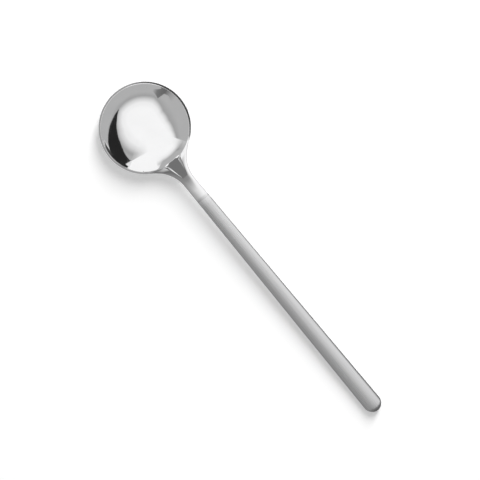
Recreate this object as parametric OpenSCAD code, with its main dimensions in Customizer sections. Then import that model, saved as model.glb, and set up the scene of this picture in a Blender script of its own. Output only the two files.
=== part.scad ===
// Teaspoon with a round bowl, a flat-topped neck and a hollow handle.
// Millimetres. It lies on Z = 0 on the bowl's foot and the handle's tip, bowl upwards.
// +X runs from the bowl to the tip, and the origin is the middle of its footprint.

/* [Overall] */
// Length from the bowl's far edge to the handle's tip
overall_length = 142; // [130:1:160]

/* [Bowl] */
// Diameter over the rim
bowl_d = 32; // [29:0.5:35]
// Inside depth below the top of the rim
bowl_depth = 6.2; // [5.6:0.1:7]
// Thickness of the pressed bowl, and of its rounded rim
bowl_t = 1.1; // [0.9:0.05:1.3]
// Diameter of the flat that the bowl stands on
foot_d = 6; // [4:0.5:8]

/* [Neck] */
// Distance from the rim to the join with the handle
neck_l = 15.7; // [13:0.1:18]
// Width at the narrowest place
neck_w = 4.5; // [4.2:0.1:4.8]
// Thickness at the narrowest place
neck_t = 2.5; // [2.2:0.1:2.8]
// Radius in plan where the neck spreads into the rim
neck_fillet_r = 12; // [9:0.5:14]
// Upward slope of the top, in degrees
neck_rise = 1; // [0.5:0.1:2]
// Length of the flat pressed into the top, from the rim
flat_l = 6; // [5:0.1:8]
// Depth of the flat below the rim, where it runs into the bowl
flat_depth = 0.52; // [0.4:0.02:0.7]
// Width of the flat at the bowl
flat_w = 4.4; // [3.6:0.1:5]
// Width of the flat at its far end
flat_end_w = 1.5; // [1:0.1:2]

/* [Handle] */
// Width at the join
join_w = 4.66; // [4.4:0.02:5]
// Width at the tip, before its end is rounded
tip_w = 6.45; // [5.6:0.05:7]
// Thickness of the oval section as a share of its width
oval_ratio = 0.67; // [0.6:0.01:0.75]
// Thickness of the pressed half shells
shell_t = 0.6; // [0.5:0.05:0.7]
// Radius of the tip in plan
tip_r = 3.65; // [3.5:0.05:4.2]
// Radius of the rounded edge round the tip
tip_edge_r = 1.3; // [0.8:0.1:1.6]

/* [Tang] */
// Length inside the handle
tang_l = 28; // [18:1:36]
// Width
tang_w = 2; // [1.6:0.1:2.4]
// Thickness
tang_t = 1; // [0.8:0.05:1.1]
// Radius of the notches that key the tang into the cement
notch_r = 0.45; // [0.3:0.05:0.6]

/* [Hidden] */
$fn = 96;
// Larger than any part of the spoon, for cutting blocks
block = 200;
// How far the rim's bead stands out of the bowl's wall on each side
bead_swell = 0.05;
// Share of the neck's thickness that lies above its widest level
upper_share = 0.44;
// Distance from the end of the tip back to where it touches the table
tip_rest = 0.89 * tip_edge_r;
// Solid metal left at the end of the tip
tip_wall = 2.4;
// How far the tang runs back into the neck
tang_root = 0.6;

// Bowl: a shell between two spheres about one centre, closed by a round bead at the rim
bowl_r = bowl_d / 2;
rim_bead_r = bowl_t / 2 + bead_swell;
bead_ring_r = bowl_r - rim_bead_r;
bead_z0 = bowl_depth + bowl_t / 2 - rim_bead_r;
mid_sphere_r = (pow(bead_ring_r, 2) + pow(bead_z0, 2)) / (2 * bead_z0);
outer_sphere_r = mid_sphere_r + bowl_t / 2;
inner_sphere_r = mid_sphere_r - bowl_t / 2;
foot_sag = outer_sphere_r - sqrt(pow(outer_sphere_r, 2) - pow(foot_d / 2, 2));
sphere_z = outer_sphere_r - foot_sag;
rim_z = bowl_depth + bowl_t - foot_sag;
bead_z = rim_z - rim_bead_r;

// Handle: an oval cone that slopes down from the join until its tip meets the table
join_x = bowl_r + neck_l;
tip_x = overall_length - bowl_r;
join_h = join_w * oval_ratio / 2;
tip_h = tip_w * oval_ratio / 2;
flat_end_x = bowl_r + flat_l;
flat_start_x = bowl_r - bowl_t;
bend_l = join_x - flat_end_x;
flat_run = flat_end_x - flat_start_x;
flat_end_z = rim_z + flat_run * tan(neck_rise);
flat_slope = atan(tan(neck_rise) + flat_depth / flat_run);
rest_l = tip_x - join_x - tip_rest;
rest_h = join_h + (tip_h - join_h) * rest_l / (tip_x - join_x);
drop_fall = flat_end_z + bend_l / 2 * tan(neck_rise) - join_h - rest_h;
handle_drop = atan(drop_fall / (bend_l / 2 + rest_l));
join_z = rest_l * sin(handle_drop) + rest_h * cos(handle_drop);
handle_l = (tip_x - join_x) / cos(handle_drop);
hollow_l = handle_l - tip_wall;

// The origin is half way along the spoon
origin_x = (tip_x - bowl_r) / 2;

// Neck: oval rings swept from the rim to the join
neck_start_x = bowl_r - 3.5;
fillet_y = neck_w / 2 + neck_fillet_r;
fillet_x = sqrt(pow(bowl_r + neck_fillet_r, 2) - pow(fillet_y, 2));
touch_x = fillet_x * bowl_r / (bowl_r + neck_fillet_r);
neck_ring_points = 36;
neck_rings = 22;
neck_upper = neck_t * upper_share;
neck_lower = neck_t - neck_upper;
// Extra depth where the neck's underside runs into the bowl
heel_h = 0.5;
// Squareness of the upper half at the rim, along the flat and at the join, where it is a plain oval
rim_square = 7;
flat_square = 5;
oval_square = 2;

// 0 before a, 1 after b and a smooth rise between
function ease(x, a, b) = let (s = min(1, max(0, (x - a) / (b - a)))) s * s * (3 - 2 * s);

// Half width in plan: the bowl's circle, then the fillet, then a slow spread to the join
function fillet_half(x) = fillet_y - sqrt(max(0, pow(neck_fillet_r, 2) - pow(fillet_x - x, 2)));
function stem_half(x) = neck_w / 2 + (join_w - neck_w) / 2 * ease(x, fillet_x, join_x);
function circle_half(x) = sqrt(pow(bowl_r, 2) - x * x) - 0.04;
function neck_half(x) =
  x < touch_x ? min(circle_half(x), fillet_half(x)) : x < fillet_x ? fillet_half(x) : stem_half(x);

// Height of the top: straight along the flat, then a bend into the handle's slope
function bend_z(s, z0, z1, m0, m1) =
  z0 * (2 * s * s * s - 3 * s * s + 1) + m0 * (s * s * s - 2 * s * s + s)
  + z1 * (3 * s * s - 2 * s * s * s) + m1 * (s * s * s - s * s);
join_top_z = join_z + join_h * cos(handle_drop);
function top_z(x) =
  x < flat_end_x ? rim_z + (x - flat_start_x) * tan(neck_rise)
  : bend_z(
    (x - flat_end_x) / bend_l, flat_end_z, join_top_z,
    bend_l * tan(neck_rise), -bend_l * tan(handle_drop)
  );

// Heights of the section above and below its widest level
function upper_h(x) =
  rim_bead_r
  + (neck_upper - rim_bead_r) * ease(x, bowl_r - 1, fillet_x)
  + (join_h - neck_upper) * ease(x, flat_end_x - 2, join_x);
function lower_h(x) =
  neck_lower
  + heel_h * (1 - ease(x, bowl_r - 2, fillet_x))
  + (join_h - neck_lower) * ease(x, fillet_x, join_x);
// Squareness of the upper half: a flat with rounded shoulders, then a plain oval
function square_p(x) =
  rim_square
  + (flat_square - rim_square) * ease(x, bowl_r, fillet_x)
  + (oval_square - flat_square) * ease(x, flat_end_x - 1, join_x);
// The rings lean until the last one is square to the handle
function neck_lean(x) = handle_drop * ease(x, flat_end_x, join_x);
function rounded(c, p) = sign(c) * pow(abs(c), 2 / p);

function neck_ring(x) = [
  for (k = [0 : neck_ring_points - 1])
    let (
      a = 360 * k / neck_ring_points,
      p = sin(a) > 0 ? square_p(x) : oval_square,
      h = sin(a) > 0 ? upper_h(x) : lower_h(x),
      y = neck_half(x) * rounded(cos(a), p),
      v = h * rounded(sin(a), p),
      lean = neck_lean(x)
    )
      [x + v * sin(lean), y, top_z(x) + (v - upper_h(x)) * cos(lean)]
];

// One solid through a row of rings with the same number of points
module swept(rings) {
  n = len(rings[0]);
  m = len(rings);
  sides = [
    for (i = [0 : m - 2], k = [0 : n - 1], half = [0, 1])
      let (a = i * n + k, b = i * n + (k + 1) % n)
        half == 0 ? [a, b + n, b] : [a, a + n, b + n]
  ];
  ends = [[for (k = [0 : n - 1]) k], [for (k = [n - 1 : -1 : 0]) (m - 1) * n + k]];
  polyhedron(points = [for (r = rings) for (q = r) q], faces = concat(sides, ends), convexity = 6);
}

// Places a child that is drawn along +X from the middle of the join
module on_handle() {
  translate([join_x, 0, join_z]) rotate([0, handle_drop, 0]) children();
}

// Rings closest together where the neck spreads
module neck() {
  swept([
    for (i = [0 : neck_rings - 1])
      neck_ring(neck_start_x + (join_x - neck_start_x) * pow(i / (neck_rings - 1), 1.45))
  ]);
}

// Bowl and neck before the flat is pressed into them
module blank() {
  difference() {
    union() {
      intersection() {
        translate([0, 0, sphere_z]) sphere(outer_sphere_r);
        cylinder(h = bead_z, r = bowl_r);
      }
      neck();
    }
    translate([0, 0, sphere_z]) sphere(inner_sphere_r);
  }
  translate([0, 0, bead_z]) rotate_extrude() translate([bead_ring_r, 0]) circle(rim_bead_r);
}

// What the flat takes away: a tapered wedge that starts inside the bowl and runs out at the far end
module flat_cut() {
  inside = 2 * bowl_t;
  outline = [
    [-inside, flat_w / 2], [0, flat_w / 2], [flat_run, flat_end_w / 2], [flat_run, 0], [-inside, 0]
  ];
  translate([flat_start_x, 0, rim_z - flat_depth])
    rotate([0, -flat_slope, 0])
      linear_extrude(bowl_t) {
        polygon(outline);
        mirror([0, 1]) polygon(outline);
      }
}

// Bar that runs from the neck into the handle, with notches in both edges
module tang() {
  difference() {
    translate([-tang_root, -tang_w / 2, -tang_t / 2]) cube([tang_l + tang_root, tang_w, tang_t]);
    for (place = [0.4, 0.75], side = [-1, 1])
      translate([tang_l * place, side * tang_w / 2, -tang_t]) cylinder(h = 2 * tang_t, r = notch_r);
  }
}

// Tapered bar of oval section along +X
module oval_cone(w0, w1, h0, l) {
  scale([1, 1, h0 / w0]) rotate([0, 90, 0]) cylinder(h = l, r1 = w0 / 2, r2 = w1 / 2);
}

// A disc with rounded edges that shapes the end of the tip
module tip_disc() {
  flat_h = 2 * (tip_h - tip_edge_r);
  rotate_extrude() {
    translate([0, -tip_h]) square([tip_r - tip_edge_r, 2 * tip_h]);
    translate([0, -flat_h / 2]) square([tip_r, flat_h]);
    for (side = [-1, 1])
      translate([tip_r - tip_edge_r, side * flat_h / 2]) circle(tip_edge_r);
  }
}

module handle_outside() {
  intersection() {
    oval_cone(join_w, tip_w, join_w * oval_ratio, handle_l);
    union() {
      translate([-1, -block / 2, -block / 2]) cube([handle_l - tip_r + 1, block, block]);
      translate([handle_l - tip_r, 0, 0]) tip_disc();
    }
  }
}

// Space inside the handle
module hollow() {
  w0 = join_w - 2 * shell_t;
  w1 = join_w + (tip_w - join_w) * hollow_l / handle_l - 2 * shell_t;
  oval_cone(w0, w1, join_w * oval_ratio - 2 * shell_t, hollow_l);
}

// Upper half for side 1, lower half for side -1
module half_shell(side) {
  difference() {
    intersection() {
      handle_outside();
      translate([-1, -block / 2, side > 0 ? 0 : -block]) cube([handle_l + 2, block, block]);
    }
    hollow();
  }
}

module bowl_and_neck() {
  color([0.82, 0.82, 0.83])
    translate([-origin_x, 0, 0]) {
      difference() {
        blank();
        flat_cut();
      }
      on_handle() tang();
    }
}

module handle_top_shell() {
  color([0.66, 0.66, 0.67]) translate([-origin_x, 0, 0]) on_handle() half_shell(1);
}

module handle_bottom_shell() {
  color([0.62, 0.62, 0.63]) translate([-origin_x, 0, 0]) on_handle() half_shell(-1);
}

module tang_cement() {
  color([0.55, 0.5, 0.42])
    translate([-origin_x, 0, 0])
      on_handle()
        difference() {
          hollow();
          tang();
        }
}

bowl_and_neck();
handle_top_shell();
handle_bottom_shell();
tang_cement();
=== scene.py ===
import math
from types import SimpleNamespace

import bmesh
import bpy
from bpy.props import FloatProperty, FloatVectorProperty, PointerProperty
from mathutils import Matrix, Vector


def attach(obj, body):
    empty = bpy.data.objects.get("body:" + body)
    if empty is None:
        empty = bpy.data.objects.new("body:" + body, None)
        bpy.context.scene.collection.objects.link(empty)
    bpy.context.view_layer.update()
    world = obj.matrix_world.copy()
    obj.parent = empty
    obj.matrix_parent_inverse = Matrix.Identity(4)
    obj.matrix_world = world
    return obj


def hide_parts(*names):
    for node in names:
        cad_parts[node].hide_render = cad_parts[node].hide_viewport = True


bl_info = {
    "name": "Teaspoon",
    "version": (1, 0, 0),
    "blender": (4, 5, 0),
    "location": "3D View > Sidebar > Teaspoon",
    "description": "Models a teaspoon with a round polished bowl and a satin hollow handle",
    "category": "Object",
}

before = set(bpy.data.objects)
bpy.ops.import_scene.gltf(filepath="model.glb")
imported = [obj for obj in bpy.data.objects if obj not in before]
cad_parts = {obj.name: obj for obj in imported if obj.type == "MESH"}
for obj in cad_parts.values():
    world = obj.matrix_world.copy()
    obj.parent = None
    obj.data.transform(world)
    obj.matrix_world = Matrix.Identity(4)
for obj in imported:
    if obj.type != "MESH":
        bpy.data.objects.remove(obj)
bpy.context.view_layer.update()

MM = 0.001
MICRON = 0.000001
# Points closer than this count as one
WELD = 0.002 * MM
# How far the cut edge of the rim lies below the top of the bead it is cut from
RIM_FALL = 0.13 * MM
# How far the rim's bead stands out of the bowl's wall on each side
BEAD_SWELL = 0.05 * MM
# Share of the neck's thickness that lies above its widest level
UPPER_SHARE = 0.44
# Shoulders beside the flat: places across them as shares of their width, and their fall in millimetres
SHOULDERS = ((0.3, 0.05), (0.6, 0.2), (0.83, 0.42), (0.96, 0.72))
# Underside of the neck: places as shares of its half width, and depths below the flat in millimetres
UNDERSIDE = (
    (0.95, 1.8), (0.88, 2.02), (0.79, 2.2), (0.69, 2.33), (0.58, 2.43), (0.47, 2.5), (0.36, 2.55),
    (0.24, 2.58), (0.12, 2.6), (0.0, 2.61),
)
# Fall of the shoulders at the bowl as a share of their fall further along, and the places from the rim
# between which one goes over into the other
SHOULDER_SHARE = 0.3
SHOULDER_RUN = (-0.5 * MM, 4 * MM)
# How much deeper the neck is where it leaves the bowl
HEEL = 0.5 * MM
# Slope of the flat's sides where it is pressed into the rim, and how far their edges are rounded
FLAT_SIDE = 0.5
FLAT_ROUND = 0.03 * MM
# Places of the notches as shares of the tang's length, and the power that squares the tang's section
NOTCHES = (0.4, 0.75)
TANG_POWER = 1 / 3
# Place from the tip where the handle rests on the table, as a share of the radius of the tip's edge
TIP_REST = 0.89
# Length of the handle's end that follows the arc of the tip, and the steps along the rest of it
TIP_RUN = 5 * MM
HANDLE_STEPS = 12
# Segments round the bowl, the turn of one, and how many on each side of +X the neck takes up
BOWL_SEGMENTS = 80
BOWL_STEP = 2 * math.pi / BOWL_SEGMENTS
NECK_SEGMENTS = 7
# Steps of the bowl's wall in section, the angles left free at the rim and at the foot, and the radius of
# the tiny rings in the middle
INSIDE_STEPS = 10
OUTSIDE_STEPS = 8
RIM_GAP = math.radians(3.0)
FOOT_GAP = math.radians(1.4)
POLE_R = 0.15 * MM
# Section of the rim, from the inside of the wall over its cut edge to the outside. Each point is given
# along the wall and across it towards the inside, in shares of half the wall's thickness.
RIM = (
    (-0.89, 1.01), (-0.5, 1.005), (0.45, 0.98), (0.47, 0.82), (0.49, 0.4),
    (0.49, -0.1), (0.46, -0.6), (0.4, -1.0), (0.14, -1.03),
)
# Rings of the rim's inner edge and of the line where the flat meets the bowl, and how sharp each edge is
RIM_EDGE_RING = INSIDE_STEPS + 3
FLAT_LINE_RING = INSIDE_STEPS + 1
RIM_CREASE = 0.6
FLAT_LINE_CREASE = 0.4
FLAT_EDGE_CREASE = 0.8
# The neck grows out of the rings from just behind the rim's inner edge to the second one of the outside
NECK_TOP_RING = INSIDE_STEPS + 4
NECK_BOTTOM_RING = INSIDE_STEPS + len(RIM) + 2
NECK_SIDE_STEPS = NECK_BOTTOM_RING - NECK_TOP_RING - 1
# Steps round half of the neck's section, from the middle of its top to the middle of its underside
SECTION_STEPS = 2 * NECK_SEGMENTS + NECK_SIDE_STEPS + 1
# Step at the edge of the flat on the neck's top
FLAT_EDGE_STEP = 3
HANDLE_SEGMENTS = 64
# Edges of the shells that turn by more than this stay sharp
SHARP_TURN = math.radians(40)


def length(name, description, default, smallest, largest):
    """A size in metres."""
    return FloatProperty(
        name=name, description=description, default=default, min=smallest, max=largest,
        precision=5, unit="LENGTH", subtype="DISTANCE",
    )


def angle(name, description, degrees, smallest, largest):
    """An angle, given in degrees."""
    return FloatProperty(
        name=name, description=description, default=math.radians(degrees),
        min=math.radians(smallest), max=math.radians(largest), unit="ROTATION", subtype="ANGLE",
    )


def share(name, description, default):
    """A number from 0 to 1."""
    return FloatProperty(
        name=name, description=description, default=default, min=0.0, max=1.0, subtype="FACTOR",
    )


def colour(name, description, default):
    """An opaque colour."""
    return FloatVectorProperty(
        name=name, description=description, default=(*default, 1.0), size=4, min=0.0, max=1.0,
        subtype="COLOR",
    )


class BowlSizes(bpy.types.PropertyGroup):
    """Sizes of the bowl."""

    diameter: length("Diameter", "Diameter over the rim", 0.032, 0.029, 0.035)
    depth: length("Depth", "Inside depth below the top of the rim", 0.0062, 0.0056, 0.007)
    wall: length("Wall", "Thickness of the pressed wall", 0.0011, 0.0009, 0.0013)
    foot: length("Foot", "Diameter of the flat that the bowl stands on", 0.006, 0.004, 0.008)


class NeckSizes(bpy.types.PropertyGroup):
    """Sizes of the neck and of the tang behind it."""

    reach: length("Length", "Distance from the rim to the join with the handle", 0.0157, 0.013, 0.018)
    width: length("Width", "Width at the narrowest place", 0.0045, 0.0042, 0.0048)
    thickness: length("Thickness", "Thickness at the narrowest place", 0.0025, 0.0022, 0.0028)
    spread: length("Spread", "Radius in plan where the neck spreads into the rim", 0.012, 0.009, 0.014)
    rise: angle("Rise", "Upward slope of the top", 1.0, 0.5, 2.0)
    flat: length("Flat", "Length of the flat pressed into the top, from the rim", 0.006, 0.005, 0.008)
    flat_depth: length("Flat depth", "Depth of the flat below the rim, where it runs into the bowl",
                       0.00052, 0.0004, 0.0007)
    flat_width: length("Flat width", "Width of the flat at the bowl", 0.0044, 0.0036, 0.005)
    flat_end_width: length("Flat end width", "Width of the flat at its far end", 0.0015, 0.001, 0.002)
    tang: length("Tang", "Length of the tang inside the handle", 0.028, 0.018, 0.036)
    tang_width: length("Tang width", "Width of the tang", 0.002, 0.0016, 0.0024)
    tang_thickness: length("Tang thickness", "Thickness of the tang", 0.001, 0.0008, 0.0011)
    notch: length("Notch", "Radius of the notches that key the tang", 0.00045, 0.0003, 0.0006)


class HandleSizes(bpy.types.PropertyGroup):
    """Sizes of the hollow handle."""

    overall: length("Overall length", "Length from the bowl's far edge to the tip", 0.142, 0.13, 0.16)
    join_width: length("Width at the join", "Width where the handle meets the neck",
                       0.00466, 0.0044, 0.005)
    tip_width: length("Width at the tip", "Width before the end is rounded", 0.00645, 0.0056, 0.007)
    oval: share("Oval", "Thickness of the section as a share of its width", 0.67)
    shell: length("Shell", "Thickness of the pressed half shells", 0.0006, 0.0005, 0.0007)
    tip_radius: length("Tip radius", "Radius of the tip in plan", 0.00365, 0.0035, 0.0042)
    tip_edge: length("Tip edge", "Radius of the rounded edge round the tip", 0.0013, 0.0008, 0.0016)
    mouth_edge: length("Mouth edge", "Radius of the edge at the join", 0.00005, 0.0, 0.0002)


class SpoonFinish(bpy.types.PropertyGroup):
    """Colours and polish of the metals."""

    polished: colour("Polished steel", "Colour of the bowl and neck", (0.915, 0.915, 0.92))
    polished_roughness: share("Polish", "Roughness of the polished steel", 0.05)
    satin: colour("Satin steel", "Colour of the handle", (0.8, 0.8, 0.805))
    satin_roughness: share("Satin", "Roughness of the satin steel", 0.3)
    cement: colour("Cement", "Colour of the filling in the handle", (0.42, 0.37, 0.3))


class StudioSetting(bpy.types.PropertyGroup):
    """Camera, floor and light."""

    camera_height: length("Camera height", "Height of the camera above the table", 2.0, 0.3, 4.0)
    camera_turn: angle("Camera turn", "Turn of the picture against the spoon's length", 50.44, 0.0, 360.0)
    picture_width: length("Picture width", "Width of the picture on the table", 0.1653, 0.1, 0.4)
    aim: FloatVectorProperty(
        name="Aim", description="Point on the table at the middle of the picture",
        default=(-0.00441, 0.00066), size=2, precision=5, unit="LENGTH", subtype="XYZ_LENGTH",
    )
    floor: colour("Floor", "Colour of the table", (0.8, 0.8, 0.8))
    lamp_power: FloatProperty(name="Lamp power", description="Power of the softbox in watts",
                              default=42.0, min=0.0, max=200.0, unit="POWER")
    fill: share("Fill", "Level of the even light from all round", 0.33)


class TeaspoonSettings(bpy.types.PropertyGroup):
    """All settings of the teaspoon."""

    bowl: PointerProperty(type=BowlSizes)
    neck: PointerProperty(type=NeckSizes)
    handle: PointerProperty(type=HandleSizes)
    finish: PointerProperty(type=SpoonFinish)
    studio: PointerProperty(type=StudioSetting)


# Form of the spoon


def ease(x, a, b):
    """0 before a, 1 after b and a smooth rise between."""
    s = min(1.0, max(0.0, (x - a) / (b - a)))
    return s * s * (3 - 2 * s)


def swell(step):
    """How much further out the points of a curved cage lie than the smooth surface inside it."""
    return 3 / (2 + math.cos(step))


def spoon_form(spoon):
    """Works out the places that follow from the settings, from the middle of the bowl along +X."""
    bowl, neck, handle = spoon.bowl, spoon.neck, spoon.handle
    f = SimpleNamespace()
    f.rim_r = bowl.diameter / 2
    f.bead_r = bowl.wall / 2 + BEAD_SWELL
    f.bead_ring = f.rim_r - f.bead_r
    bead_rise = bowl.depth + bowl.wall / 2 - f.bead_r
    f.middle_r = (f.bead_ring ** 2 + bead_rise ** 2) / (2 * bead_rise)
    f.outer_r = f.middle_r + bowl.wall / 2
    f.inner_r = f.middle_r - bowl.wall / 2
    foot_sag = f.outer_r - math.sqrt(f.outer_r ** 2 - (bowl.foot / 2) ** 2)
    f.centre_z = f.outer_r - foot_sag
    f.rim_z = bowl.depth + bowl.wall - foot_sag
    f.bead_z = f.rim_z - f.bead_r
    f.join_x = f.rim_r + neck.reach
    f.tip_x = handle.overall - f.rim_r
    f.join_half = handle.join_width / 2
    f.tip_half = handle.tip_width / 2
    f.join_h = f.join_half * handle.oval
    f.tip_h = f.tip_half * handle.oval
    f.flat_start = f.rim_r - bowl.wall
    f.flat_end = f.rim_r + neck.flat
    f.bend = f.join_x - f.flat_end
    flat_run = f.flat_end - f.flat_start
    f.flat_end_z = f.rim_z + flat_run * math.tan(neck.rise)
    f.flat_slope = math.tan(neck.rise) + neck.flat_depth / flat_run
    rest = f.tip_x - f.join_x - TIP_REST * handle.tip_edge
    rest_h = f.join_h + (f.tip_h - f.join_h) * rest / (f.tip_x - f.join_x)
    fall = f.flat_end_z + f.bend / 2 * math.tan(neck.rise) - f.join_h - rest_h
    f.drop = math.atan(fall / (f.bend / 2 + rest))
    f.join_z = rest * math.sin(f.drop) + rest_h * math.cos(f.drop)
    f.handle_l = (f.tip_x - f.join_x) / math.cos(f.drop)
    f.join_top_z = f.join_z + f.join_h * math.cos(f.drop)
    f.spread_y = neck.width / 2 + neck.spread
    f.spread_x = math.sqrt((f.rim_r + neck.spread) ** 2 - f.spread_y ** 2)
    origin_x = (f.tip_x - f.rim_r) / 2
    f.to_row = Matrix.Translation((-origin_x, 0, 0))
    f.on_handle = Matrix.Translation((f.join_x, 0, f.join_z)) @ Matrix.Rotation(f.drop, 4, "Y")
    return f


def neck_half(f, neck, x):
    """Half width of the neck in plan."""
    if x < f.spread_x:
        return f.spread_y - math.sqrt(max(0.0, neck.spread ** 2 - (f.spread_x - x) ** 2))
    return neck.width / 2 + (f.join_half - neck.width / 2) * ease(x, f.spread_x, f.join_x)


def flat_height(f, neck, x):
    """Height of the plane of the flat on top of the neck."""
    return f.rim_z - neck.flat_depth + (x - f.flat_start) * f.flat_slope


def flat_half(f, neck, x):
    """Half width of the flat."""
    along = (x - f.flat_start) / (f.flat_end - f.flat_start)
    return (neck.flat_width + (neck.flat_end_width - neck.flat_width) * along) / 2


def neck_top(f, neck, x):
    """Height of the middle of the neck's top: the flat, then a bend into the handle's slope."""
    if x <= f.flat_end:
        return flat_height(f, neck, x)
    s = (x - f.flat_end) / f.bend
    leave = f.bend * math.tan(neck.rise)
    meet = -f.bend * math.tan(f.drop)
    return (
        f.flat_end_z * (2 * s ** 3 - 3 * s ** 2 + 1) + leave * (s ** 3 - 2 * s ** 2 + s)
        + f.join_top_z * (3 * s ** 2 - 2 * s ** 3) + meet * (s ** 3 - s ** 2)
    )


def flat_section(f, neck, x, step):
    """One point of the section with the flat: distance from the middle, and height from the flat."""
    half = neck_half(f, neck, x)
    flat = max(flat_half(f, neck, x), neck.flat_end_width / 2)
    # The rim runs on along both sides of the flat as a ridge that fades out
    along = (x - f.rim_r) / (f.flat_end - f.rim_r)
    ridge = (neck.flat_depth - RIM_FALL) * (1 - min(1.0, max(0.0, along)))
    heel = HEEL * (1 - ease(x, f.rim_r - 2 * MM, f.spread_x))
    deep = MM * (neck.thickness + heel) / neck.thickness
    crest = flat + 0.27 * MM + 0.75 * ridge
    shoulder = half - crest
    fall = SHOULDER_SHARE + (1 - SHOULDER_SHARE) * ease(x - f.rim_r, *SHOULDER_RUN)
    points = [(across, 0.0) for across in (0.0, flat * 0.55, flat + 0.08 * MM, flat + 0.2 * MM)]
    points.append((crest, ridge))
    points += [(crest + across * shoulder, ridge - down * fall * MM) for across, down in SHOULDERS]
    points += [(half + 0.02 * MM, -1.0 * deep), (half + 0.03 * MM, -1.25 * deep), (half, -1.52 * deep)]
    points += [(half * across, -down * deep) for across, down in UNDERSIDE]
    return points[step]


def oval_section(half, high, step):
    """One point of the oval section at the join: distance from the middle, and height from it."""
    turn = math.pi * step / SECTION_STEPS
    out = swell(math.pi / SECTION_STEPS)
    return half * out * math.sin(turn), high * out * math.cos(turn)


# Making pieces


def new_object(bm, name, material):
    """Turns a bmesh into an object of the scene."""
    mesh = bpy.data.meshes.new(name)
    bm.to_mesh(mesh)
    bm.free()
    mesh.materials.append(material)
    thing = bpy.data.objects.new(name, mesh)
    bpy.context.scene.collection.objects.link(thing)
    return thing


def new_piece(bm, name, material, node):
    """Turns a bmesh in the row frame into a piece that stands for a CAD node."""
    for face in bm.faces:
        face.smooth = True
    piece = new_object(bm, name, material)
    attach(piece, "root")
    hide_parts(node)
    return piece


def made_verts(made):
    """The vertices in what an operator returns."""
    return [g for g in made["geom"] if isinstance(g, bmesh.types.BMVert)]


def edges_among(verts):
    """The edges whose two ends are both in a set of vertices."""
    inside = set(verts)
    return list({e for v in verts for e in v.link_edges if e.other_vert(v) in inside})


def draw_on(bm, vert, place):
    """Draws a line from a vertex to a new one."""
    new = bmesh.ops.extrude_vert_indiv(bm, verts=[vert])["verts"][0]
    new.co = place
    return new


def swing(bm, vert, centre, turn, steps):
    """Draws an arc in the XZ plane from a vertex and returns its last vertex."""
    made = bmesh.ops.spin(
        bm, geom=[vert], cent=centre, axis=(0, 1, 0), dvec=(0, 0, 0), angle=turn, steps=steps,
        use_merge=False, use_duplicate=False,
    )
    return next(g for g in made["geom_last"] if isinstance(g, bmesh.types.BMVert))


def on_circle(centre, radius, turn):
    """A point of a circle in the XZ plane, turned from +X towards +Z."""
    return Vector((centre[0] + radius * math.cos(turn), 0, centre[2] + radius * math.sin(turn)))


def draw_wall(bm, f, bowl):
    """Draws the bowl's wall in section, from the middle of its inside over the rim to the foot."""
    centre = (0, 0, f.centre_z)
    down = -math.pi / 2
    lean = math.asin(f.bead_ring / f.middle_r)
    # Inside, from a tiny ring round the middle
    first = math.asin(POLE_R / f.inner_r)
    last = lean - RIM_GAP
    cage_r = f.inner_r * swell((last - first) / INSIDE_STEPS)
    vert = bm.verts.new(on_circle(centre, cage_r, down + first))
    vert = swing(bm, vert, centre, first - last, INSIDE_STEPS)
    # Rim, cut nearly square to the wall
    half_wall = bowl.wall / 2
    outwards = Vector((math.cos(lean), 0, math.sin(lean)))
    inwards = Vector((-math.sin(lean), 0, math.cos(lean)))
    for along, across in RIM:
        place = Vector((f.bead_ring, 0, f.bead_z)) + half_wall * (along * outwards + across * inwards)
        vert = draw_on(bm, vert, place)
    # Outside
    first = lean - RIM_GAP
    last = math.asin(bowl.foot / 2 / f.outer_r) + FOOT_GAP
    cage_r = f.outer_r * swell((first - last) / OUTSIDE_STEPS)
    vert = draw_on(bm, vert, on_circle(centre, cage_r, down + first))
    vert = swing(bm, vert, centre, first - last, OUTSIDE_STEPS)
    for r in (bowl.foot / 2, bowl.foot * 0.4, bowl.foot * 0.2, POLE_R):
        vert = draw_on(bm, vert, Vector((r, 0, 0)))
    bmesh.ops.scale(bm, vec=(swell(BOWL_STEP), 1, 1), verts=bm.verts)


def soft_least(a, b, blend):
    """The lesser of two heights, rounded off where they are close."""
    h = min(1.0, max(0.0, 0.5 + 0.5 * (b - a) / blend))
    return b + (a - b) * h - blend * h * (1 - h)


def sharpen_rim(bm, f, neck, ring):
    """Creases the rim's inner edge, and where the neck starts the line where the flat meets the bowl."""
    crease = bm.edges.layers.float.new("crease_edge")
    for e in bm.edges:
        middle = (e.verts[0].co + e.verts[1].co) / 2
        turn = abs(math.atan2(middle.y, middle.x))
        rings = {v[ring] for v in e.verts}
        if rings == {RIM_EDGE_RING} and turn > BOWL_STEP * NECK_SEGMENTS:
            e[crease] = RIM_CREASE
        if rings == {FLAT_LINE_RING} and turn * f.flat_start < neck.flat_width / 2:
            e[crease] = FLAT_LINE_CREASE


def press_flat(bm, f, neck):
    """Lowers the rim to the flat where the neck starts."""
    for v in bm.verts:
        if v.co.x < f.flat_start - 2 * MM:
            continue
        beside = max(0.0, abs(v.co.y) - flat_half(f, neck, v.co.x))
        v.co.z = soft_least(v.co.z, flat_height(f, neck, v.co.x) + FLAT_SIDE * beside, FLAT_ROUND)


def neck_stations(f):
    """Places along the neck where its section is set, at the middle of its top and at its sides."""
    start = [(f.rim_r + middle * MM, f.rim_r + side * MM) for middle, side in (
        (-0.4, -1.5), (0.1, -0.4), (0.8, 0.6), (1.8, 1.75),
    )]
    ahead = [f.rim_r + d * MM for d in (2.9, 4.1, 5.2)]
    ahead += [f.flat_end + d * MM for d in (-0.35, -0.06, 0.1)]
    ahead += [f.flat_end + f.bend * s for s in (0.06, 0.16, 0.31, 0.5, 0.7, 0.87)]
    return start + [(x, x) for x in ahead]


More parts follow.
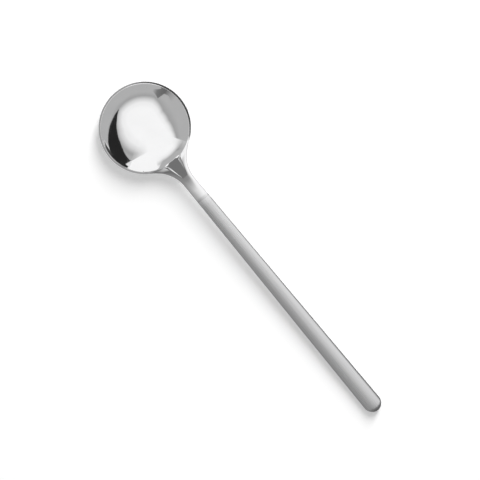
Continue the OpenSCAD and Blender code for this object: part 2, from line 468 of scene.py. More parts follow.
def tang_half(neck, x):
    """Half width of the tang, less at its notches."""
    cut = 0.0
    for place in NOTCHES:
        reach = neck.notch ** 2 - (x - neck.tang * place) ** 2
        cut = max(cut, math.sqrt(max(0.0, reach)))
    return neck.tang_width / 2 - cut


def tang_stations(neck):
    """Places along the tang where its section is set."""
    places = [0.15 * MM, 0.6 * MM]
    for place in NOTCHES:
        steps = (-2, -1.05, -0.9, -0.5, 0, 0.5, 0.9, 1.05, 2)
        places += [neck.tang * place + neck.notch * d for d in steps]
    return places + [neck.tang - 0.4 * MM, neck.tang]


class NeckLoop:
    """The open end of the head while it is drawn out into the neck and the tang."""

    def __init__(self, bm, step_layer, side_layer, verts):
        self.bm, self.step, self.side, self.verts = bm, step_layer, side_layer, verts
        self.crease = bm.edges.layers.float["crease_edge"]

    def draw_out(self, place, sharp_step=None):
        """Extrudes the end, puts each new vertex where place(step, side) says and creases one line."""
        made = bmesh.ops.extrude_edge_only(self.bm, edges=edges_among(self.verts))
        self.verts = made_verts(made)
        new = set(self.verts)
        for v in self.verts:
            v.co = place(v[self.step], v[self.side])
            for e in v.link_edges:
                sharp = v[self.step] == sharp_step and e.other_vert(v) not in new
                e[self.crease] = max(e[self.crease], FLAT_EDGE_CREASE if sharp else 0.0)

    def close(self):
        """Closes the end with one face."""
        bmesh.ops.edgeloop_fill(self.bm, edges=edges_among(self.verts))


def open_for_neck(bm, ring):
    """Takes the rim and outer wall out where the neck starts, and returns the open end."""
    top, bottom = NECK_TOP_RING, NECK_BOTTOM_RING
    reach = BOWL_STEP * (NECK_SEGMENTS + 0.1)

    def taken(v):
        return top <= v[ring] <= bottom and abs(math.atan2(v.co.y, v.co.x)) < reach

    gone = [face for face in bm.faces if all(taken(v) for v in face.verts)]
    bmesh.ops.delete(bm, geom=gone, context="FACES")
    step = bm.verts.layers.int.new("step")
    side = bm.verts.layers.int.new("side")
    edge = list({v for e in bm.edges if e.is_boundary for v in e.verts})
    for v in edge:
        segment = round(abs(math.atan2(v.co.y, v.co.x)) / BOWL_STEP)
        v[side] = 0 if segment == 0 else (1 if v.co.y > 0 else -1)
        if v[ring] == top:
            v[step] = segment
        elif v[ring] == bottom:
            v[step] = SECTION_STEPS - segment
        else:
            v[step] = NECK_SEGMENTS + v[ring] - top
    return NeckLoop(bm, step, side, edge)


def draw_neck(loop, f, neck):
    """Draws the neck out of the rim, flat on top and then oval, up to the join."""

    def section(x, step, side):
        high = ease(x, f.flat_end, f.flat_end + 0.93 * f.bend)
        half = neck_half(f, neck, x)
        thick = neck.thickness * UPPER_SHARE
        tall = thick + (f.join_h - thick) * ease(x, f.flat_end - 2 * MM, f.join_x)
        y0, z0 = flat_section(f, neck, x, step)
        y1, z1 = oval_section(half, tall, step)
        y = y0 + (y1 - y0) * high
        z = z0 + (z1 - tall - z0) * high
        lean = f.drop * ease(x, f.flat_end, f.join_x)
        up = z + tall
        level = neck_top(f, neck, x) - 0.008 * MM * ease(x, f.flat_end - MM, f.flat_end + MM)
        return Vector((x + up * math.sin(lean), side * y, level + z * math.cos(lean)))

    for middle, at_side in neck_stations(f):
        def place(step, side):
            lag = ease(step, 0, NECK_SEGMENTS + 1)
            return section(middle + (at_side - middle) * lag, step, side)
        loop.draw_out(place, FLAT_EDGE_STEP if middle < f.flat_end else None)


def draw_tang(loop, f, neck):
    """Draws the round end of the neck at the join, and the tang behind it."""

    def at_join(along, grow):
        def place(step, side):
            y, up = oval_section(f.join_half, f.join_h, step)
            return f.on_handle @ Vector((along, side * y * grow, up * grow))
        return place

    # Places along in millimetres, and sizes as shares of the neck's end
    for along, grow in ((-0.35, 1), (-0.12, 1), (-0.03, 1), (0, 0.97), (0, 0.88)):
        loop.draw_out(at_join(along * MM, grow))

    def bar(along, grow):
        def place(step, side):
            turn = math.pi * step / SECTION_STEPS
            y = tang_half(neck, along) * math.sin(turn) ** TANG_POWER
            flat = math.copysign(abs(math.cos(turn)) ** TANG_POWER, math.cos(turn))
            up = neck.tang_thickness / 2 * flat
            return f.on_handle @ Vector((along, side * y * grow, up * grow))
        return place

    loop.draw_out(bar(0.0, 1.0))
    for along in tang_stations(neck):
        loop.draw_out(bar(along, 1.0))
    loop.draw_out(bar(neck.tang, 0.8))
    loop.close()


class TEASPOON_OT_head(bpy.types.Operator):
    """Models the bowl, its rim, the neck and the tang as one pressed piece"""

    bl_idname = "teaspoon.head"
    bl_label = "Bowl and neck"

    def execute(self, context):
        spoon = context.scene.teaspoon
        f = spoon_form(spoon)
        bm = bmesh.new()
        draw_wall(bm, f, spoon.bowl)
        ring = bm.verts.layers.int.new("ring")
        for i, v in enumerate(bm.verts):
            v[ring] = i
        bmesh.ops.spin(
            bm, geom=bm.verts[:] + bm.edges[:], cent=(0, 0, 0), axis=(0, 0, 1), dvec=(0, 0, 0),
            angle=2 * math.pi, steps=BOWL_SEGMENTS, use_merge=True, use_duplicate=False,
        )
        bmesh.ops.remove_doubles(bm, verts=bm.verts, dist=WELD)
        bmesh.ops.holes_fill(bm, edges=[e for e in bm.edges if e.is_boundary], sides=0)
        sharpen_rim(bm, f, spoon.neck, ring)
        press_flat(bm, f, spoon.neck)
        loop = open_for_neck(bm, ring)
        draw_neck(loop, f, spoon.neck)
        draw_tang(loop, f, spoon.neck)
        bmesh.ops.recalc_face_normals(bm, faces=bm.faces)
        bmesh.ops.transform(bm, matrix=f.to_row, verts=bm.verts)
        steel = polished_steel(spoon.finish, f)
        head = new_piece(bm, "bowl_neck_and_tang", steel, "bowl_and_neck")
        smooth = head.modifiers.new("Smooth pressing", "SUBSURF")
        smooth.levels = smooth.render_levels = 2
        return {"FINISHED"}


def draw_tube(f, handle):
    """Draws the outside of the handle as one closed oval tube along +X, with its tip rounded."""
    bm = bmesh.new()
    bmesh.ops.create_circle(bm, cap_ends=False, segments=HANDLE_SEGMENTS, radius=f.join_half)
    for axis in ("Y", "X"):
        bmesh.ops.rotate(bm, verts=bm.verts, cent=(0, 0, 0), matrix=Matrix.Rotation(math.pi / 2, 3, axis))
    bmesh.ops.scale(bm, vec=(1, 1, handle.oval), verts=bm.verts)
    edges = bm.edges[:]
    stations = [s / HANDLE_STEPS * (f.handle_l - TIP_RUN) for s in range(1, HANDLE_STEPS + 1)]
    stations.append(f.handle_l)
    before = 0.0
    half = f.join_half
    for x in stations:
        made = bmesh.ops.extrude_edge_only(bm, edges=edges)
        verts, edges = made_verts(made), edges_among(made_verts(made))
        wide = f.join_half + (f.tip_half - f.join_half) * x / f.handle_l
        bmesh.ops.translate(bm, vec=(x - before, 0, 0), verts=verts)
        bmesh.ops.scale(bm, vec=(1, wide / half, wide / half), verts=verts)
        before, half = x, wide
    bmesh.ops.edgeloop_fill(bm, edges=edges)
    bmesh.ops.bevel(
        bm, geom=edges, offset=handle.tip_edge, offset_type="OFFSET", affect="EDGES", segments=7,
        profile=0.5, material=-1, clamp_overlap=False, loop_slide=True,
    )
    # Cut the end wall into upright strips, so that it can follow the arc of the tip
    wall = max(bm.faces, key=lambda face: len(face.verts))
    rows = sorted({round(v.co.y, 7) for v in wall.verts if v.co.z > 0.01 * MM})
    for y in rows[1:-1]:
        end = [face for face in bm.faces if all(v.co.x > f.handle_l - 0.001 * MM for v in face.verts)]
        parts = {g for face in end for g in (face, *face.edges, *face.verts)}
        bmesh.ops.bisect_plane(bm, geom=list(parts), dist=WELD, plane_co=(0, y, 0), plane_no=(0, 1, 0))
    for v in bm.verts:
        back = handle.tip_radius - math.sqrt(handle.tip_radius ** 2 - min(abs(v.co.y), f.tip_half) ** 2)
        v.co.x -= back * ease(v.co.x, f.handle_l - TIP_RUN - 0.01 * MM, f.handle_l - handle.tip_edge)
    bmesh.ops.recalc_face_normals(bm, faces=bm.faces)
    return bm


class TEASPOON_OT_handle(bpy.types.Operator):
    """Models the upper and lower half shells of the hollow handle"""

    bl_idname = "teaspoon.handle"
    bl_label = "Handle shells"

    def execute(self, context):
        spoon = context.scene.teaspoon
        f, handle = spoon_form(spoon), spoon.handle
        steel = satin_steel(spoon.finish, f)
        for name, node, upper in (
            ("handle_upper_half", "handle_top_shell", True),
            ("handle_lower_half", "handle_bottom_shell", False),
        ):
            bm = draw_tube(f, handle)
            bmesh.ops.bisect_plane(
                bm, geom=bm.verts[:] + bm.edges[:] + bm.faces[:], dist=WELD,
                plane_co=(0, 0, 0), plane_no=(0, 0, 1), clear_inner=upper, clear_outer=not upper,
            )
            bmesh.ops.solidify(bm, geom=bm.faces[:], thickness=handle.shell)
            # Outer edge of the mouth, which is rounded
            mouth = [
                e for e in bm.edges
                if all(abs(v.co.x) < 0.02 * MM for v in e.verts) and all(
                    (v.co.y / f.join_half) ** 2 + (v.co.z / f.join_h) ** 2 > 0.98 for v in e.verts
                )
            ]
            bmesh.ops.bevel(
                bm, geom=mouth, offset=handle.mouth_edge, offset_type="OFFSET", affect="EDGES",
                segments=2, profile=0.5, material=-1, clamp_overlap=True,
            )
            for e in bm.edges:
                e.smooth = e.calc_face_angle(0.0) < SHARP_TURN
            bmesh.ops.transform(bm, matrix=f.to_row @ f.on_handle, verts=bm.verts)
            new_piece(bm, name, steel, node)
        return {"FINISHED"}


class TEASPOON_OT_cement(bpy.types.Operator):
    """Gives the filling in the handle its finish"""

    bl_idname = "teaspoon.cement"
    bl_label = "Cement"

    def execute(self, context):
        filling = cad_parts["tang_cement"]
        filling.data.materials.clear()
        filling.data.materials.append(set_cement(context.scene.teaspoon.finish))
        return {"FINISHED"}


# Finishes


class Finish:
    """A new material and short ways to add nodes to it."""

    def __init__(self, name):
        self.material = bpy.data.materials.new(name)
        self.material.use_nodes = True
        self.tree = self.material.node_tree
        self.shader = self.tree.nodes["Principled BSDF"]

    def add(self, kind, **settings):
        node = self.tree.nodes.new(kind)
        for key, value in settings.items():
            setattr(node, key, value)
        return node

    def link(self, out, into):
        self.tree.links.new(out, into)

    def place(self, move=(0, 0, 0), turn=(0, 0, 0), scale=(1, 1, 1)):
        """Object coordinates, moved, turned and scaled."""
        coord = self.add("ShaderNodeTexCoord")
        first = self.add("ShaderNodeMapping")
        first.inputs["Location"].default_value = move
        first.inputs["Rotation"].default_value = turn
        second = self.add("ShaderNodeMapping")
        second.inputs["Scale"].default_value = scale
        self.link(coord.outputs["Object"], first.inputs["Vector"])
        self.link(first.outputs["Vector"], second.inputs["Vector"])
        return second.outputs["Vector"]

    def noise(self, vector, scale, detail=3.0, roughness=0.5):
        node = self.add("ShaderNodeTexNoise")
        node.inputs["Scale"].default_value = scale
        node.inputs["Detail"].default_value = detail
        node.inputs["Roughness"].default_value = roughness
        self.link(vector, node.inputs["Vector"])
        return node.outputs["Fac"]

    def spread(self, value, low, high, start=0.0, end=1.0):
        """Maps a value from start to end onto low to high."""
        node = self.add("ShaderNodeMapRange")
        for socket, number in (("From Min", start), ("From Max", end), ("To Min", low), ("To Max", high)):
            node.inputs[socket].default_value = number
        self.link(value, node.inputs["Value"])
        return node.outputs["Result"]

    def sum(self, first, second, operation="ADD"):
        node = self.add("ShaderNodeMath", operation=operation)
        self.link(first, node.inputs[0])
        self.link(second, node.inputs[1])
        return node.outputs["Value"]

    def tint(self, value, dark, light):
        """A colour between two by a value."""
        node = self.add("ShaderNodeMix", data_type="RGBA")
        first, second = (s for s in node.inputs if s.type == "RGBA")
        first.default_value, second.default_value = dark, light
        self.link(value, node.inputs["Factor"])
        return next(s for s in node.outputs if s.type == "RGBA")

    def relief(self, height, distance, under=None):
        node = self.add("ShaderNodeBump")
        node.inputs["Strength"].default_value = 1.0
        node.inputs["Distance"].default_value = distance
        self.link(height, node.inputs["Height"])
        if under is not None:
            self.link(under, node.inputs["Normal"])
        return node.outputs["Normal"]


def shade(colour_value, factor):
    """A colour made darker or lighter."""
    return tuple(min(1.0, c * factor) for c in colour_value[:3]) + (1.0,)


# Distances from the middle of the bowl between which the buffing rings fade out
RINGS_FADE = (14.5 * MM, 15.8 * MM)


def polished_steel(finish, f):
    """Mirror-polished steel with faint buffing rings round the bowl, hairlines and smudges."""
    m = Finish("polished steel")
    m.shader.inputs["Metallic"].default_value = 1.0
    bowl = -f.to_row.translation
    middle = m.place(move=bowl)
    flat = m.add("ShaderNodeVectorMath", operation="MULTIPLY")
    flat.inputs[1].default_value = (1, 1, 0)
    m.link(middle, flat.inputs[0])
    radius = m.add("ShaderNodeVectorMath", operation="LENGTH")
    m.link(flat.outputs["Vector"], radius.inputs[0])
    rings = m.add("ShaderNodeTexNoise", noise_dimensions="1D")
    rings.inputs["Scale"].default_value = 5200.0
    rings.inputs["Detail"].default_value = 3.0
    m.link(radius.outputs["Value"], rings.inputs["W"])
    on_bowl = m.spread(radius.outputs["Value"], 1.0, 0.0, *RINGS_FADE)
    rings_fac = m.sum(m.spread(rings.outputs["Fac"], -0.5, 0.5), on_bowl, "MULTIPLY")
    smudge = m.noise(m.place(move=bowl), 160.0, 4.0)
    hair_a = m.noise(m.place(turn=(0.3, 0.2, 0.5), scale=(150, 5200, 900)), 1.0, 2.0)
    hair_b = m.noise(m.place(turn=(0.1, -0.3, 2.2), scale=(120, 4300, 800)), 1.0, 2.0)
    hairs = m.sum(hair_a, hair_b, "MULTIPLY")
    rough = m.sum(
        m.spread(smudge, finish.polished_roughness * 0.7, finish.polished_roughness * 1.5, 0.3, 0.7),
        m.spread(hairs, 0.0, 0.03, 0.25, 0.5),
    )
    m.link(rough, m.shader.inputs["Roughness"])
    patches = m.spread(smudge, 0.0, 1.0, 0.3, 0.7)
    tone = m.tint(patches, shade(finish.polished, 0.975), shade(finish.polished, 1.01))
    m.link(tone, m.shader.inputs["Base Color"])
    wave = m.relief(m.noise(m.place(move=bowl), 110.0, 1.0), 3 * MICRON)
    fine = m.relief(rings_fac, 0.12 * MICRON, wave)
    m.link(m.relief(hairs, 0.1 * MICRON, fine), m.shader.inputs["Normal"])
    return m.material


def satin_steel(finish, f):
    """Satin steel, brushed along the handle."""
    m = Finish("satin steel")
    m.shader.inputs["Metallic"].default_value = 1.0
    level = (0, -f.drop, 0)
    fine = m.noise(m.place(turn=level, scale=(45, 6500, 6500)), 1.0, 3.0, 0.6)
    broad = m.noise(m.place(turn=level, scale=(14, 1300, 1300)), 1.0, 3.0, 0.55)
    patch = m.noise(m.place(), 70.0, 3.0)
    grain = m.sum(m.spread(fine, 0.0, 0.6), m.spread(broad, 0.0, 0.4))
    rough = m.sum(
        m.spread(grain, finish.satin_roughness - 0.07, finish.satin_roughness + 0.07, 0.3, 0.7),
        m.spread(patch, -0.025, 0.025, 0.3, 0.7),
    )
    m.link(rough, m.shader.inputs["Roughness"])
    lines = m.spread(grain, 0.0, 1.0, 0.35, 0.65)
    tone = m.tint(lines, shade(finish.satin, 0.93), shade(finish.satin, 1.06))
    m.link(tone, m.shader.inputs["Base Color"])
    m.link(m.relief(grain, 2.2 * MICRON), m.shader.inputs["Normal"])
    return m.material


def set_cement(finish):
    """Set resin cement, matt and slightly gritty."""
    m = Finish("set cement")
    grit = m.noise(m.place(), 2600.0, 4.0, 0.6)
    cloud = m.noise(m.place(), 260.0, 3.0)
    clouds = m.spread(cloud, 0.0, 1.0, 0.3, 0.7)
    tone = m.tint(clouds, shade(finish.cement, 0.85), shade(finish.cement, 1.12))
    m.link(tone, m.shader.inputs["Base Color"])
    m.link(m.spread(grit, 0.75, 0.95, 0.3, 0.7), m.shader.inputs["Roughness"])
    m.link(m.relief(grit, 40 * MICRON), m.shader.inputs["Normal"])
    return m.material


# The studio

# The cards below are seen only in the metal. Turns are in degrees round the picture, from its
# right towards its top, and heights in degrees above the rim, both seen from the bowl. 1 is white.

# Distances of the far cards from the bowl in metres
WALL_AT = 0.6
STAND_AT = 0.58
HAZE_AT = 0.57
FLAG_AT = 0.55
# Grey wall round the bowl: turns, and the heights and half the widths of its soft upper edge
WALL = (
    (161, 29, 4), (173, 38, 5), (196, 47, 5), (222, 48, 5), (252, 37, 7), (325, 36, 6), (365, 45, 8),
    (428, 45, 10),
)
# Brightness of that wall and of the front wall of the vault
GREY = 0.46
# Low grey wall beside the neck: the same, and brightness
LOW_WALL = ((109, 17, 4, 0.95), (120, 18, 4, 0.4), (146, 17, 4, 0.38), (161, 18, 9, 0.58))
# Height of the lower edge of both, how far up they are even as a share of their height, and their
# brightness along the top as a share of what it is below
WALL_FOOT = -2
WALL_EVEN = 0.6
WALL_LIP = 0.82
# Dark stand before the wall: turns, the heights of lower and upper edge, and brightness
STAND = (
    (222, -2, 20, 0.47), (232, -2, 14, 0.33), (239, -2, 15, 0.14), (245, 4, 30, 0.17), (250, 12, 25, 0.2),
    (257, 15, 19, 0.45),
)
# Black flag: turns, and the heights of lower and upper edge
FLAG = ((325, 31, 31.5), (345, 28, 37), (369, 20.5, 39), (391, 11, 37.5), (405, 3, 33), (428, -2, 21))
FLAG_GLOW = 0.02
# Small cards at the flag: a light slip under its edge, the dark tail below that, and a pale corner before
# its end. For each its name, brightness, distance from the bowl, turns and heights of lower and upper edge.
SLIPS = (
    ("light slip", 0.66, 0.57, ((377, 3, 5), (383, 5, 10), (391, 7.5, 14), (401, 8, 9))),
    ("flag tail", 0.06, 0.56, ((373, 1, 4), (383, 2.5, 6), (391, 3.5, 8), (400, 4, 9.5), (406, 3, 9))),
    ("pale corner", 0.85, 0.54, ((423.5, 10, 10.5), (428, 6, 20.5), (430, 4, 22))),
)
# Haze past the end of the flag: turns, the heights of its lower and soft upper edge, and brightness. Then
# half the width of the soft edge.
HAZE = ((428, 19, 46, 0.5), (433, 27, 47, 0.56), (441, 36, 50, 0.74), (458, 46, 54, 1.0))
HAZE_BLUR = 8
# Skirt on the table, which the cut edge of the rim shows: turns, brightness, and the height of its outer
# edge in millimetres
SKIRT = (
    (325, 0.8, 8), (345, 0.35, 8), (355, 0.25, 28), (375, 0.06, 28), (425, 0.06, 28), (440, 0.06, 12),
    (475, 0.35, 8), (640, 0.35, 8), (655, 0.8, 8),
)
# Radii of its inner and outer edge, and its height above the table
SKIRT_INNER = 20 * MM
SKIRT_OUTER = 300 * MM
SKIRT_LIFT = 0.2 * MM
# Vault over the neck and handle. Each place along it, in millimetres from the middle of the bowl: its
# brightness on the left and on the right, and the turns from upright between which one goes over into
# the other.
VAULT = (
    (11, 0.28, 0.4, -65, -25), (15, 0.4, 1.0, -45, 10), (17, 0.15, 1.0, 0, 45), (23, 0.28, 1.0, 0, 50),
    (28, 0.4, 1.0, -65, 55), (30.8, 0.4, 1.0, -65, 55), (31.4, 0.3, 0.9, -70, 75),
    (127, 0.32, 0.78, -70, 75), (128, 0.14, 0.35, -70, 75), (132, 0.14, 0.35, -70, 75),
)
VAULT_RADIUS = 10 * MM
VAULT_AXIS = 5 * MM
# Brightness of the vault's feet: on the left, and on the right before and after this place along it. The
# feet lie on the table along the neck and handle, darker than the lit table; the dark ones beside the
# handle are painted shade, standing for the table's shadow that the handle's lower edges reflect.
LEFT_SHADE_FOOT = 0.25
NECK_FOOT = 0.6
HANDLE_SHADE_FOOT = 0.12
HANDLE_START = 31
# Front wall of the vault in millimetres: its place along, the height of its lower edge in the middle, and
# how much higher that is at the sides
FRONT_AT = 11
FRONT_LOW = 5.95
FRONT_RISE = 1.35
# Bright strip inside the front wall in millimetres: its place along, half its width, and the heights of
# its lower and upper edge
STRIP_AT = 11.2
STRIP_HALF = 1.5
STRIP_LOW = 8.6
STRIP_HIGH = 14.6
# End wall of the vault at the tip: where it starts on the table and where it stands, in millimetres, and
# its brightness below and above
END_START = 126.5
END_AT = 132
END_GLOW = 0.12
END_TOP_GLOW = 0.15
# Dark card under the vault that the flat of the neck shows: its corners in millimetres from the middle of
# the bowl, its level as a share of the vault's radius, and its brightness
FLAT_CARD = ((12.2, -3.4), (12.2, 2.3), (20.6, -2.5), (20.6, 1.2))
FLAT_CARD_RISE = 0.9
FLAT_CARD_GLOW = 0.18
# Softbox: width and length, distance from the bowl in metres, turn and height
SOFTBOX = (0.78, 2.08)
SOFTBOX_AT = 1.43
SOFTBOX_TURN = 68
SOFTBOX_HEIGHT = 46
# How much brighter the table is to the camera and in mirrors, and half the length of its sides
TABLE_LIFT = 0.3
TABLE_HALF = 3.0
# How far the table lies under the spoon, so that the two never share a plane
TABLE_DROP = 0.01 * MM
# Width of the camera's sensor in millimetres, and the level of the spoon at which the picture's width holds
SENSOR = 36.0
PICTURE_LEVEL = 4 * MM


def card_finish(name):
    """A card that shines by its own brightness attribute."""
    m = Finish(name)
    m.tree.nodes.remove(m.shader)
    glow = m.add("ShaderNodeAttribute", attribute_name="glow")
    light = m.add("ShaderNodeEmission")
    m.link(glow.outputs["Fac"], light.inputs["Strength"])
    m.link(light.outputs["Emission"], m.tree.nodes["Material Output"].inputs["Surface"])
    return m.material


def reflections_only(card):
    """Marks a card as part of the stage that only the metal shows."""
    card.visible_camera = False
    card.visible_diffuse = False
    card.visible_shadow = False
    card.visible_transmission = False


def hang_card(name, columns):
    """Draws a card out column by column. A column lists points and the brightness of each."""
    bm = bmesh.new()
    glow = bm.verts.layers.float.new("glow")
    line = [bm.verts.new() for _ in columns[0]]
    for a, b in zip(line, line[1:]):
        bm.edges.new((a, b))
    for i, column in enumerate(columns):
        if i > 0:
            made = set(made_verts(bmesh.ops.extrude_edge_only(bm, edges=edges_among(line))))
            line = [next(e.other_vert(v) for e in v.link_edges if e.other_vert(v) in made) for v in line]
        for v, (point, level) in zip(line, column):
            v.co = point
            v[glow] = level
    reflections_only(new_object(bm, name, card_finish(name)))


def round_bowl(f, studio, distance):
    """Gives a function from a turn round the picture and a height to a point that far from the bowl."""
    middle = f.to_row.translation

    def place(turn, height):
        around = math.radians(turn) + studio.camera_turn
        return Vector((
            middle.x + distance * math.cos(around), middle.y + distance * math.sin(around),
            f.rim_z + distance * math.tan(math.radians(height)),
        ))

    return place


def rounded(points, step=6):
    """Adds places between the points of a card's outline, so that a long card curves round the bowl."""
    for a, b in zip(points, points[1:]):
        parts = max(1, round((b[0] - a[0]) / step))
        for i in range(parts):
            yield [p + (q - p) * i / parts for p, q in zip(a, b)]
    yield points[-1]


def soft_edge(edge, blur, level, lip):
    """Heights and brightness of a soft upper edge, with a darker line below it where lip is under 1."""
    return [
        (edge - blur, lip * level), (edge, 0.5 + 0.5 * lip * level), (edge + blur, 0.85 + 0.15 * level),
        (edge + 2.5 * blur, 1.0),
    ]


def hang_strip(name, place, outline):
    """Hangs a card between a lower and an upper edge."""
    hang_card(name, [
        [(place(turn, low), level), (place(turn, high), level)]
        for turn, low, high, level in rounded(outline)
    ])


def stand_cards(f, studio):
    """Stands the far cards round the bowl."""
    place = round_bowl(f, studio, WALL_AT)
    grey_wall = [(*edge, GREY) for edge in WALL]
    for name, outline in (("grey wall", grey_wall), ("low grey wall", LOW_WALL)):
        columns = []
        for turn, edge, blur, level in rounded(outline):
            rows = [(WALL_FOOT, level), (WALL_EVEN * edge, level)] + soft_edge(edge, blur, level, WALL_LIP)
            columns.append([(place(turn, height), glow) for height, glow in rows])
        hang_card(name, columns)

    hang_strip("dark stand", round_bowl(f, studio, STAND_AT), STAND)
    hang_strip("black flag", round_bowl(f, studio, FLAG_AT), [(*edge, FLAG_GLOW) for edge in FLAG])
    for name, level, distance, outline in SLIPS:
        hang_strip(name, round_bowl(f, studio, distance), [(*edge, level) for edge in outline])

    place = round_bowl(f, studio, HAZE_AT)
    columns = []
    for turn, low, edge, level in rounded(HAZE):
        rows = [(low, level)] + soft_edge(edge, HAZE_BLUR, level, 1.0)
        columns.append([(place(turn, height), glow) for height, glow in rows])
    hang_card("haze", columns)

    columns = []
    middle = f.to_row.translation + Vector((0, 0, SKIRT_LIFT))
    for turn, level, high in rounded(SKIRT):
        around = math.radians(turn) + studio.camera_turn
        out = Vector((math.cos(around), math.sin(around), 0))
        edge = middle + SKIRT_OUTER * out
        top = edge + Vector((0, 0, high * MM))
        columns.append([(middle + SKIRT_INNER * out, level), (edge, level), (top, level)])
    hang_card("skirt", columns)


def raise_vault(f):
    """Puts the vault over the neck and handle, with the walls at its ends and the cards inside."""

    def arc(x, turn, radius=VAULT_RADIUS):
        around = math.radians(turn)
        return f.to_row @ Vector((x, radius * math.sin(around), VAULT_AXIS + radius * math.cos(around)))

    def at(x, y, z):
        return f.to_row @ Vector((x * MM, y * MM, z * MM))

    columns = []
    for x, left, right, start, end in VAULT:
        foot = HANDLE_SHADE_FOOT if x > HANDLE_START else NECK_FOOT
        # Feet on the table at both sides: dark sheets seen only in the metal, painted shade that stands for
        # the table's shadow beside the handle
        column = [(at(x, y, z), LEFT_SHADE_FOOT) for y, z in ((-3.4, 0.4), (-8, 0.5), (-9.4, 3))]
        for turn in range(-90, 91, 10):
            column.append((arc(x * MM, turn), left + (right - left) * ease(turn, start, end)))
        for y, z, level in ((9.4, 3, (foot + right) / 2), (8, 0.5, foot), (3.6, 0.4, foot)):
            column.append((at(x, y, z), level))
        columns.append(column)
    hang_card("vault", columns)

    columns = []
    for turn in range(-75, 76, 15):
        top = arc(FRONT_AT * MM, turn, 1.02 * VAULT_RADIUS)
        low = (FRONT_LOW + FRONT_RISE * ease(abs(turn), 15, 30)) * MM
        columns.append([(Vector((top.x, top.y, low)), GREY), (top, GREY)])
    hang_card("front wall", columns)
    hang_card("bright strip", [
        [(at(STRIP_AT, y, STRIP_LOW), 1.0), (at(STRIP_AT, y, STRIP_HIGH), 1.0)]
        for y in (-STRIP_HALF, 0, STRIP_HALF)
    ])

    columns = []
    for y in (-10, -5, 0, 5, 10):
        low = [(at(x, y, 0.4), END_GLOW) for x in (END_START, END_AT)]
        columns.append(low + [(arc(END_AT * MM, 9 * y), END_TOP_GLOW)])
    hang_card("end wall", columns)

    level = VAULT_AXIS + FLAT_CARD_RISE * VAULT_RADIUS
    corners = [(f.to_row @ Vector((x * MM, y * MM, level)), FLAT_CARD_GLOW) for x, y in FLAT_CARD]
    hang_card("dark card", [corners[:2], corners[2:]])


def light_path(tree):
    """1 for what the camera, a mirror or glass sees, else 0."""
    path = tree.nodes.new("ShaderNodeLightPath")
    total = path.outputs["Is Camera Ray"]
    for name in ("Is Glossy Ray", "Is Transmission Ray"):
        either = tree.nodes.new("ShaderNodeMath")
        either.operation = "MAXIMUM"
        tree.links.new(total, either.inputs[0])
        tree.links.new(path.outputs[name], either.inputs[1])
        total = either.outputs["Value"]
    return total


def floor_finish(studio):
    """A pale table top, a little brighter to the camera so that it reads as white."""
    m = Finish("pale table")
    m.shader.inputs["Roughness"].default_value = 0.9
    m.shader.inputs["Specular IOR Level"].default_value = 0.0
    m.shader.inputs["Base Color"].default_value = studio.floor[:]
    m.shader.inputs["Emission Color"].default_value = (1, 1, 1, 1)
    lift = m.add("ShaderNodeMath", operation="MULTIPLY")
    lift.inputs[1].default_value = TABLE_LIFT
    m.link(light_path(m.tree), lift.inputs[0])
    m.link(lift.outputs["Value"], m.shader.inputs["Emission Strength"])
    return m.material


def light_room(studio):
    """Even light from all round, and plain white where the camera or a mirror looks past everything."""
    world = bpy.data.worlds.new("room")
    bpy.context.scene.world = world
    world.use_nodes = True
    tree = world.node_tree
    mix = tree.nodes.new("ShaderNodeMixShader")
    tree.links.new(light_path(tree), mix.inputs["Fac"])
    even = tree.nodes["Background"]
    seen = tree.nodes.new("ShaderNodeBackground")
    for i, light, strength in ((1, even, studio.fill), (2, seen, 1.0)):
        light.inputs["Color"].default_value = (1, 1, 1, 1)
        light.inputs["Strength"].default_value = strength
        tree.links.new(light.outputs["Background"], mix.inputs[i])
    tree.links.new(mix.outputs["Shader"], tree.nodes["World Output"].inputs["Surface"])


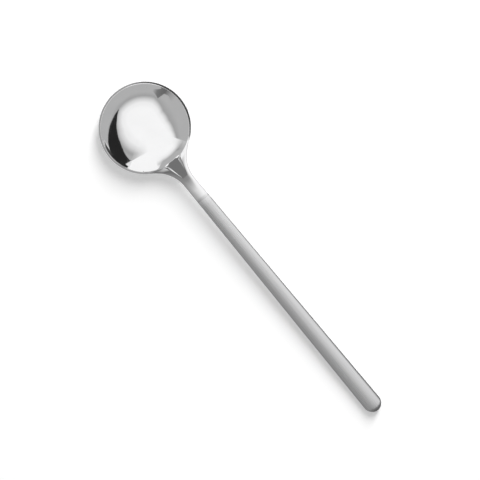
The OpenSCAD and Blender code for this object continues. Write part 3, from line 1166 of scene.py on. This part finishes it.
class TEASPOON_OT_stage(bpy.types.Operator):
    """Sets the camera, the table, the softbox and the cards that the metal reflects"""

    bl_idname = "teaspoon.stage"
    bl_label = "Studio"

    def execute(self, context):
        scene = context.scene
        spoon, studio = scene.teaspoon, scene.teaspoon.studio
        f = spoon_form(spoon)
        scene.view_settings.view_transform = "Standard"
        lens = bpy.data.cameras.new("camera")
        lens.sensor_width = SENSOR
        lens.lens = SENSOR * (studio.camera_height - PICTURE_LEVEL) / studio.picture_width
        lens.clip_start, lens.clip_end = 0.01, 20.0
        camera = bpy.data.objects.new("camera", lens)
        camera.location = (*studio.aim, studio.camera_height)
        camera.rotation_euler = (0, 0, studio.camera_turn)
        scene.collection.objects.link(camera)
        scene.camera = camera
        light_room(studio)

        bm = bmesh.new()
        bmesh.ops.create_grid(bm, x_segments=1, y_segments=1, size=TABLE_HALF)
        bmesh.ops.translate(bm, vec=(0, 0, -TABLE_DROP), verts=bm.verts)
        new_object(bm, "table", floor_finish(studio))

        stand_cards(f, studio)
        raise_vault(f)

        softbox = bpy.data.lights.new("softbox", "AREA")
        softbox.shape = "ELLIPSE"
        softbox.size, softbox.size_y = SOFTBOX
        softbox.energy = studio.lamp_power
        lamp = bpy.data.objects.new("softbox", softbox)
        lamp.location = round_bowl(f, studio, SOFTBOX_AT)(SOFTBOX_TURN, SOFTBOX_HEIGHT)
        lamp.rotation_euler = lamp.location.to_track_quat("Z", "Y").to_euler()
        lamp.visible_glossy = False
        scene.collection.objects.link(lamp)
        return {"FINISHED"}


class TEASPOON_PT_panel(bpy.types.Panel):
    """Lists the teaspoon's pieces and settings."""

    bl_idname = "TEASPOON_PT_panel"
    bl_label = "Teaspoon"
    bl_space_type = "VIEW_3D"
    bl_region_type = "UI"
    bl_category = "Teaspoon"

    def draw(self, context):
        for operator in OPERATORS:
            self.layout.operator(operator.bl_idname)
        spoon = context.scene.teaspoon
        for group in (spoon.bowl, spoon.neck, spoon.handle, spoon.finish, spoon.studio):
            box = self.layout.box()
            for name in group.__annotations__:
                box.prop(group, name)


OPERATORS = (TEASPOON_OT_stage, TEASPOON_OT_head, TEASPOON_OT_handle, TEASPOON_OT_cement)
CLASSES = (
    BowlSizes, NeckSizes, HandleSizes, SpoonFinish, StudioSetting, TeaspoonSettings,
    *OPERATORS, TEASPOON_PT_panel,
)


def register():
    for cls in CLASSES:
        bpy.utils.register_class(cls)
    bpy.types.Scene.teaspoon = PointerProperty(type=TeaspoonSettings)


def unregister():
    del bpy.types.Scene.teaspoon
    for cls in reversed(CLASSES):
        bpy.utils.unregister_class(cls)


def main():
    register()
    bpy.ops.teaspoon.stage()
    bpy.ops.teaspoon.head()
    bpy.ops.teaspoon.handle()
    bpy.ops.teaspoon.cement()


if __name__ == "__main__":
    main()
